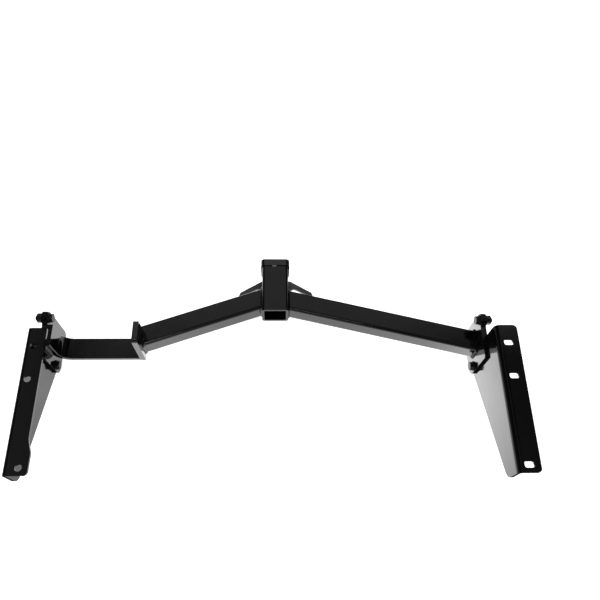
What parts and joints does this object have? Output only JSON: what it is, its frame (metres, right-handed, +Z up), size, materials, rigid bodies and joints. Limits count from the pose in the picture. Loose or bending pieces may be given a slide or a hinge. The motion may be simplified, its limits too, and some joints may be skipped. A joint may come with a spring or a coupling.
{
  "type": "receiver tow bar frame",
  "caption": "Under-vehicle receiver hitch: swept square cross tubes, a central square receiver with chain plate, and slotted and drilled rail brackets bolted to its ends.",
  "frame": {"origin": "centre of the hitch-pin hole, on the axis of the square receiver", "axes": "+X to the right along the hitch's width, +Y to the rear out of the receiver's mouth, +Z up"},
  "size_m": [1.0804, 0.5439, 0.2025],
  "materials": {
    "gloss_black_paint": "gloss",
    "black_fasteners": "satin",
    "painted_weld": "gloss"
  },
  "bodies": {
    "root": {"receiver_tube": "gloss_black_paint", "mouth_collar": "gloss_black_paint", "right_cross_tube": "gloss_black_paint", "left_cross_tube": "gloss_black_paint", "chain_plate": "gloss_black_paint", "offset_bar": "gloss_black_paint", "offset_upright": "gloss_black_paint", "right_end_plate": "gloss_black_paint", "left_end_plate": "gloss_black_paint", "right_rail_bracket": "gloss_black_paint", "left_rail_bracket": "gloss_black_paint", "bracket_bolts": "black_fasteners", "bracket_washers": "black_fasteners", "bracket_nuts": "black_fasteners", "right_receiver_weld": "painted_weld", "left_receiver_weld": "painted_weld", "right_plate_weld": "painted_weld", "upright_weld": "painted_weld", "bar_foot_weld": "painted_weld", "bar_leg_welds": "painted_weld", "chain_plate_welds": "painted_weld", "collar_tacks": "painted_weld"}
  },
  "joints": []
}
